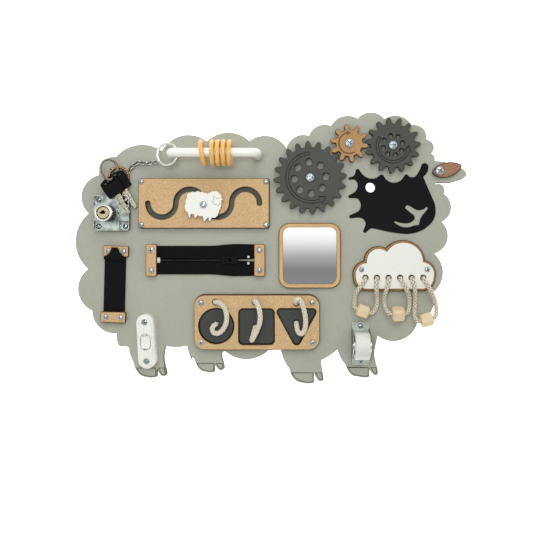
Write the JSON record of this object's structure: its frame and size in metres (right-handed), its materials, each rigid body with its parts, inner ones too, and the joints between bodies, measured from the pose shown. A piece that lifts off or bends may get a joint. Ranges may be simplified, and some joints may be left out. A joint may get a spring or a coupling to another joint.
{
  "type": "wooden busy board",
  "caption": "Sheep-shaped wooden busy board with meshing gears, sliding maze, handle and rings, lock and keys, strap, zip, mirror, beaded cords, shape sorter, switch and wheel.",
  "frame": {"origin": "centre of the board's footprint on its flat back face", "axes": "+Z out of the front face, the board lying on its back; +X towards the sheep's head; +Y from its hooves to its back"},
  "size_m": [0.4536, 0.3144, 0.0514],
  "materials": {
    "grey_paint": "satin pale grey-green paint on plywood",
    "black_felt": "matt black thin sheet",
    "grey_gear": "matt dark grey paint on laser-cut board",
    "bare_mdf": "raw fibreboard, laser-cut edges burnt brown",
    "gear_ply": "bare plywood, brown burnt edges",
    "ear_wood": "reddish-brown stained plywood, black burnt edge",
    "shape_grey": "matt dark grey paint on thick board",
    "dark_layer": "board with its laser-burnt dark edge showing",
    "steel": "bright zinc-plated steel",
    "washer_steel": "dull zinc-plated steel",
    "white_paint": "white powder coat",
    "white_board": "white satin paint on board",
    "pale_wood": "smooth pale turned wood",
    "chain_steel": "bright nickel plate",
    "key_ring_steel": "worn nickel plate",
    "key_plastic": "black moulded key with a bare metal blade",
    "lock_metal": "bright nickel-plated zinc",
    "plug_brass": "pale brass",
    "black_webbing": "black woven webbing",
    "zip_black": "black woven zip tape and coil",
    "mirror_film": "polished acrylic mirror",
    "brown_board": "board with a brown burnt rim",
    "cotton_cord": "cream braided cotton cord",
    "bead_wood": "smooth pale wood",
    "white_plastic": "white moulded plastic",
    "bracket_steel": "zinc-plated pressed steel",
    "wheel_plastic": "off-white nylon"
  },
  "bodies": {
    "base": {"base_board": "grey_paint", "face_panel": "black_felt", "pivot_bolts": "steel", "pivot_washers": "washer_steel", "pivot_nuts": "washer_steel", "maze_panel": "bare_mdf", "panel_spacers": "dark_layer", "handle": "white_paint", "handle_screws": "steel", "handle_ring": "chain_steel", "lock_case": "lock_metal", "lock_barrel": "lock_metal", "strap_base": "black_webbing", "clamp_bars": "bare_mdf", "zip_tapes": "zip_black", "zip_teeth": "zip_black", "mirror_frame": "bare_mdf", "mirror_sheet": "mirror_film", "cloud_back": "brown_board", "cloud_front": "white_board", "shape_panel": "bare_mdf", "switch_case": "white_plastic", "wheel_bracket": "bracket_steel", "wheel_axle": "steel", "panel_screws": "steel"},
    "large_gear": {"large_gear": "grey_gear"},
    "small_gear": {"small_gear": "gear_ply"},
    "medium_gear": {"medium_gear": "grey_gear"},
    "ear": {"ear_flap": "ear_wood"},
    "slider_pin": {"slider_bolt": "steel", "slider_glide": "white_plastic"},
    "sheep": {"sheep_slider": "white_board"},
    "ring_1": {"ring_1": "pale_wood"},
    "ring_2": {"ring_2": "pale_wood"},
    "ring_3": {"ring_3": "pale_wood"},
    "ring_4": {"ring_4": "pale_wood"},
    "ring_5": {"ring_5": "pale_wood"},
    "key_set": {"key_chain": "chain_steel", "key_ring": "key_ring_steel", "key_1": "key_plastic", "key_2": "key_plastic"},
    "plug": {"lock_plug": "plug_brass"},
    "bolt": {"lock_bolt": "steel"},
    "flap": {"strap_flap": "black_webbing"},
    "zip_slide": {"zip_slider": "zip_black"},
    "pull": {"zip_pull": "zip_black"},
    "loop_1": {"cloud_cord_1": "cotton_cord", "bead_1": "bead_wood"},
    "loop_2": {"cloud_cord_2": "cotton_cord", "bead_2": "bead_wood"},
    "loop_3": {"cloud_cord_3": "cotton_cord", "bead_3": "bead_wood"},
    "disc_piece": {"shape_disc": "shape_grey", "disc_cord": "cotton_cord"},
    "square_piece": {"shape_square": "shape_grey", "square_cord": "cotton_cord"},
    "triangle_piece": {"shape_triangle": "shape_grey", "triangle_cord": "cotton_cord"},
    "rocker": {"switch_rocker": "white_plastic"},
    "wheel": {"caster_wheel": "wheel_plastic"}
  },
  "joints": [
    {"name": "large_gear_spin", "type": "hinge", "parent": "base", "child": "large_gear", "pos_m": [0.04442, 0.0809, 0.012], "axis": [0, 0, 1], "continuous": true},
    {"name": "small_gear_spin", "type": "hinge", "parent": "base", "child": "small_gear", "pos_m": [0.0895, 0.1205, 0.012], "axis": [0, 0, 1], "continuous": true},
    {"name": "medium_gear_spin", "type": "hinge", "parent": "base", "child": "medium_gear", "pos_m": [0.13944, 0.11797, 0.012], "axis": [0, 0, 1], "continuous": true},
    {"name": "ear_swing", "type": "hinge", "parent": "base", "child": "ear", "pos_m": [0.1937, 0.089, 0.01], "axis": [0, 0, 1], "range_deg": [-100, 85]},
    {"name": "slider_bend_slide", "type": "hinge", "parent": "base", "child": "slider_pin", "pos_m": [-0.0616, 0.0515, 0.016], "axis": [0, 0, 1], "range_deg": [-7, 173]},
    {"name": "sheep_turn", "type": "hinge", "parent": "slider_pin", "child": "sheep", "pos_m": [-0.07748, 0.04955, 0.016], "axis": [0, 0, 1], "range_deg": [-175, 10]},
    {"name": "ring_1_slide", "type": "slide", "parent": "base", "child": "ring_1", "axis": [1, 0, 0], "range_m": [-0.024, 0.003]},
    {"name": "ring_5_slide", "type": "slide", "parent": "base", "child": "ring_5", "axis": [1, 0, 0], "range_m": [0, 0.018]},
    {"name": "ring_4_slide", "type": "slide", "parent": "base", "child": "ring_4", "axis": [1, 0, 0], "range_m": [0, 0.014]},
    {"name": "ring_3_slide", "type": "slide", "parent": "base", "child": "ring_3", "axis": [1, 0, 0], "range_m": [0, 0.0095]},
    {"name": "ring_2_slide", "type": "slide", "parent": "base", "child": "ring_2", "axis": [1, 0, 0], "range_m": [0, 0.005]},
    {"name": "key_set_lift", "type": "hinge", "parent": "base", "child": "key_set", "pos_m": [-0.1271, 0.0989, 0.025], "axis": [-0.5619, 0.8153, -0.1397], "range_deg": [0, 75]},
    {"name": "plug_turn", "type": "hinge", "parent": "base", "child": "plug", "pos_m": [-0.1877, 0.0398, 0.02], "axis": [0, 0, 1], "range_deg": [0, 90]},
    {"name": "bolt_slide", "type": "slide", "parent": "base", "child": "bolt", "axis": [-1, 0, 0], "range_m": [0, 0.0085]},
    {"name": "strap_flap_peel", "type": "hinge", "parent": "base", "child": "flap", "pos_m": [-0.18192, -0.07089, 0.0113], "axis": [0.9997, -0.0244, 0], "range_deg": [0, 110]},
    {"name": "zip_slider_slide", "type": "slide", "parent": "base", "child": "zip_slide", "axis": [1, 0, 0], "range_m": [-0.069, 0.017]},
    {"name": "zip_pull_flip", "type": "hinge", "parent": "zip_slide", "child": "pull", "pos_m": [-0.0526, -0.014, 0.01435], "axis": [0, -1, 0], "range_deg": [0, 165]},
    {"name": "cord_loop_1_lift", "type": "hinge", "parent": "base", "child": "loop_1", "pos_m": [0.1146, -0.0342, 0.0188], "axis": [-1, 0, 0], "range_deg": [0, 100]},
    {"name": "cord_loop_2_lift", "type": "hinge", "parent": "base", "child": "loop_2", "pos_m": [0.1412, -0.0342, 0.0188], "axis": [-1, 0, 0], "range_deg": [0, 100]},
    {"name": "cord_loop_3_lift", "type": "hinge", "parent": "base", "child": "loop_3", "pos_m": [0.1678, -0.0342, 0.0188], "axis": [-1, 0, 0], "range_deg": [0, 100]},
    {"name": "disc_lift_out", "type": "slide", "parent": "base", "child": "disc_piece", "axis": [0, 0, 1], "range_m": [0, 0.03]},
    {"name": "square_lift_out", "type": "slide", "parent": "base", "child": "square_piece", "axis": [0, 0, 1], "range_m": [0, 0.03]},
    {"name": "triangle_lift_out", "type": "slide", "parent": "base", "child": "triangle_piece", "axis": [0, 0, 1], "range_m": [0, 0.03]},
    {"name": "switch_rock", "type": "hinge", "parent": "base", "child": "rocker", "pos_m": [-0.1428, -0.1066, 0.0235], "axis": [0.9984, 0.0558, 0], "range_deg": [-6, 6]},
    {"name": "wheel_roll", "type": "hinge", "parent": "base", "child": "wheel", "pos_m": [0.1032, -0.1106, 0.0267], "axis": [1, 0, 0], "continuous": true}
  ],
  "couplings": [
    {"joint": "small_gear_spin", "follows": "large_gear_spin", "ratio": -2},
    {"joint": "medium_gear_spin", "follows": "large_gear_spin", "ratio": 1.3333},
    {"joint": "sheep_turn", "follows": "slider_bend_slide", "ratio": -1},
    {"joint": "ring_4_slide", "follows": "ring_5_slide", "ratio": 0.75},
    {"joint": "ring_3_slide", "follows": "ring_5_slide", "ratio": 0.5},
    {"joint": "ring_2_slide", "follows": "ring_5_slide", "ratio": 0.25},
    {"joint": "bolt_slide", "follows": "plug_turn", "m_per_rad": 0.005401}
  ]
}
